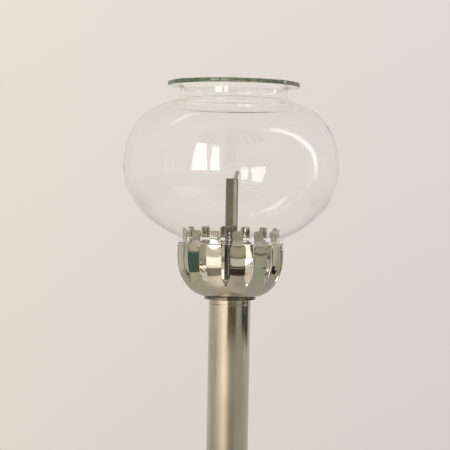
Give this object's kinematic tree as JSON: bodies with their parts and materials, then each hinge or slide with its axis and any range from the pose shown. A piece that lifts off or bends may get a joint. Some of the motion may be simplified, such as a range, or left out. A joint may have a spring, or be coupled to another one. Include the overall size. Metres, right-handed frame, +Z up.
{
  "type": "processional torch",
  "caption": "Hand-carried processional torch: nickel tube pole, cup of spring fingers, liquid-wax burner and a clear blown-glass globe with a flat rim.",
  "frame": {"origin": "centre of the pole's foot, on the face of the foot cap", "axes": "+Z up along the pole towards the globe; -Y faces the picture's camera, and the wick leans towards +X"},
  "size_m": [0.1666, 0.1666, 0.9],
  "materials": {
    "nickel_plate": "polished nickel plate",
    "tank_brass": "drawn brass tube",
    "seal_rubber": "moulded black nitrile",
    "washer_fibre": "red vulcanised fibre",
    "wick_fibre": "braided glass fibre",
    "clear_glass": "clear blown glass, ground rim and collar"
  },
  "bodies": {
    "pole": {"pole_tube": "nickel_plate", "foot_cap": "nickel_plate", "collar": "nickel_plate", "flange_plate": "nickel_plate", "finger_cup": "nickel_plate", "lock_ring": "nickel_plate"},
    "burner": {"tank_lid": "nickel_plate", "stem_washer": "washer_fibre", "stem_nut": "nickel_plate", "wick_tube": "nickel_plate", "wick": "wick_fibre"},
    "seal": {"lid_gasket": "seal_rubber"},
    "tank": {"tank_body": "tank_brass", "tank_base": "tank_brass"},
    "globe": {"glass_globe": "clear_glass"}
  },
  "joints": [
    {"name": "globe_lift", "type": "slide", "parent": "pole", "child": "globe", "axis": [0, 0, 1], "range_m": [0, 0.1]},
    {"name": "burner_lift", "type": "slide", "parent": "pole", "child": "burner", "axis": [0, 0, 1], "range_m": [0, 0.115]},
    {"name": "seal_drop", "type": "slide", "parent": "burner", "child": "seal", "axis": [0, 0, -1], "range_m": [0, 0.0075]},
    {"name": "tank_turn", "type": "hinge", "parent": "seal", "child": "tank", "pos_m": [0, 0, 0.7], "axis": [0, 0, -1], "range_deg": [0, 1800]}
  ],
  "couplings": [
    {"joint": "seal_drop", "follows": "tank_turn", "m_per_rad": 0.00023873}
  ]
}
